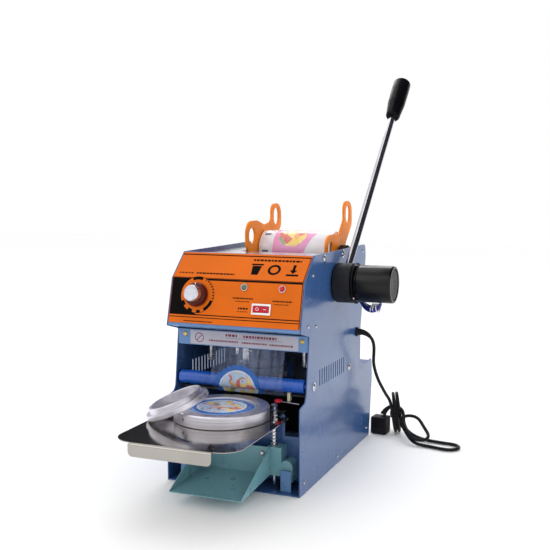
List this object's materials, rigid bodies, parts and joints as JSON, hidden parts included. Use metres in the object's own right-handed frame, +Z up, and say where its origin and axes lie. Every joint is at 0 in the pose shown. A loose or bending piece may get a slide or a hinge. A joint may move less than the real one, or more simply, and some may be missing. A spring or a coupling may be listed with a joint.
{
  "type": "cup sealing machine",
  "caption": "Manual lever-press cup sealing machine with sliding cup tray, heated die, film roll, film motor, control panel, loose adapter ring and tied mains cord",
  "frame": {"origin": "centre of the base underside, between the side plates, on the surface the machine stands on", "axes": "+X to the operator's right (lever side), +Y from the operator to the back of the machine, +Z up"},
  "size_m": [0.4476, 0.828, 0.7494],
  "materials": {
    "blue_paint": "gloss powder coat",
    "navy_paint": "satin powder coat",
    "teal_paint": "satin hammer paint",
    "orange_overlay": "printed polycarbonate overlay",
    "orange_plastic": "satin",
    "white_label": "printed label on painted strip",
    "black_plastic": "satin moulded",
    "black_gloss": "gloss moulded",
    "maroon_plastic": "gloss moulded",
    "red_plastic": "gloss",
    "green_lens": "translucent lens",
    "red_lens": "translucent lens",
    "white_plastic": "satin",
    "polished_steel": "mirror polished",
    "steel": "brushed",
    "cast_aluminium": "sand cast, turned faces",
    "film_print": "printed sealing film",
    "clear_film": "clear sealing film with print",
    "blue_roller": "smooth sleeve",
    "wire_insulation": "bundled wires",
    "cord_rubber": "satin rubber"
  },
  "bodies": {
    "chassis": {"base_plate": "blue_paint", "side_plate_left": "blue_paint", "side_plate_right": "blue_paint", "top_plate": "blue_paint", "rear_panel_upper": "blue_paint", "rear_panel_lower": "blue_paint", "electrics_box": "black_plastic", "front_panel": "blue_paint", "control_overlay": "orange_overlay", "fascia_strip": "white_label", "heat_lamp": "green_lens", "power_lamp": "red_lens", "switch_bezel": "white_plastic", "roll_spindle": "black_plastic", "roll_bracket_left": "orange_plastic", "roll_bracket_right": "orange_plastic", "film_top_bar": "steel", "film_die_bars": "steel", "film_web": "clear_film", "motor_spindle": "steel", "film_motor": "black_gloss", "motor_leads": "wire_insulation", "carriage_guides": "steel", "slide_rod_left": "steel", "slide_rod_right": "steel", "slide_stand_left": "blue_paint", "slide_stand_right": "blue_paint", "slide_rear_bar": "navy_paint", "cord_grommet": "cord_rubber", "cord_run": "cord_rubber", "cord_hank": "cord_rubber", "cord_loops": "cord_rubber", "cord_tail": "cord_rubber", "cord_end": "cord_rubber", "mains_plug": "cord_rubber"},
    "lever": {"lever_hub": "black_gloss", "lever_rod": "polished_steel", "lever_grip": "black_plastic", "lever_crankshaft": "steel"},
    "carriage": {"carriage_crosshead": "steel", "heater_block": "cast_aluminium", "sealing_die": "cast_aluminium"},
    "drawer": {"drawer_pan": "teal_paint", "drawer_block_left": "teal_paint", "drawer_block_right": "teal_paint", "drawer_back_plate": "navy_paint", "tray_spring_left": "steel", "tray_spring_right": "steel"},
    "tray_deck": {"tray": "polished_steel", "mould_ring": "cast_aluminium", "film_disc": "film_print", "tray_post_left": "steel", "tray_post_right": "steel"},
    "adapter": {"adapter_ring": "cast_aluminium"},
    "knob": {"thermostat_knob": "maroon_plastic"},
    "rocker": {"rocker_switch": "red_plastic"},
    "take_up": {"take_up_roller": "film_print"},
    "guide": {"guide_roller": "blue_roller"},
    "roll": {"film_roll": "film_print"},
    "film_drive": {"film_drive_shaft": "steel"}
  },
  "joints": [
    {"name": "lever_pull", "type": "hinge", "parent": "chassis", "child": "lever", "pos_m": [0.139, -0.019, 0.343], "axis": [1, 0, 0], "range_deg": [0, 75], "stiffness_Nm_per_rad": 1.6, "springref_deg": -34.38},
    {"name": "heater_drop", "type": "slide", "parent": "chassis", "child": "carriage", "axis": [0, 0, -1], "range_m": [0, 0.028]},
    {"name": "tray_slide", "type": "slide", "parent": "chassis", "child": "drawer", "axis": [0, 1, 0], "range_m": [0, 0.15]},
    {"name": "tray_float", "type": "slide", "parent": "drawer", "child": "tray_deck", "axis": [0, 0, -1], "range_m": [0, 0.004], "stiffness_N_per_m": 2500, "springref_m": -0.012, "deforming": ["tray_spring_left", "tray_spring_right"]},
    {"name": "adapter_lift", "type": "slide", "parent": "chassis", "child": "adapter", "axis": [0, 0, 1], "range_m": [0, 0.15]},
    {"name": "knob_turn", "type": "hinge", "parent": "chassis", "child": "knob", "pos_m": [-0.071, -0.18871, 0.3305], "axis": [0, -0.9673, 0.2536], "range_deg": [-150, 150]},
    {"name": "rocker_press", "type": "hinge", "parent": "chassis", "child": "rocker", "pos_m": [0.051, -0.19356, 0.312], "axis": [0, 0.2536, 0.9673], "range_deg": [-14, 0]},
    {"name": "take_up_spin", "type": "hinge", "parent": "chassis", "child": "take_up", "pos_m": [0, 0.04, 0.29], "axis": [-1, 0, 0], "continuous": true},
    {"name": "guide_spin", "type": "hinge", "parent": "chassis", "child": "guide", "pos_m": [0, -0.161, 0.179], "axis": [-1, 0, 0], "continuous": true},
    {"name": "roll_spin", "type": "hinge", "parent": "chassis", "child": "roll", "pos_m": [0.013, 0.095, 0.388], "axis": [-1, 0, 0], "continuous": true},
    {"name": "film_drive_spin", "type": "hinge", "parent": "chassis", "child": "film_drive", "pos_m": [0, -0.019, 0.343], "axis": [-1, 0, 0], "continuous": true}
  ],
  "couplings": [
    {"joint": "heater_drop", "follows": "lever_pull", "m_per_rad": 0.02139},
    {"joint": "adapter_lift", "follows": "tray_slide", "ratio": 1},
    {"joint": "guide_spin", "follows": "take_up_spin", "ratio": -1.8333},
    {"joint": "roll_spin", "follows": "take_up_spin", "ratio": 0.5366},
    {"joint": "film_drive_spin", "follows": "take_up_spin", "ratio": -0.9897}
  ]
}
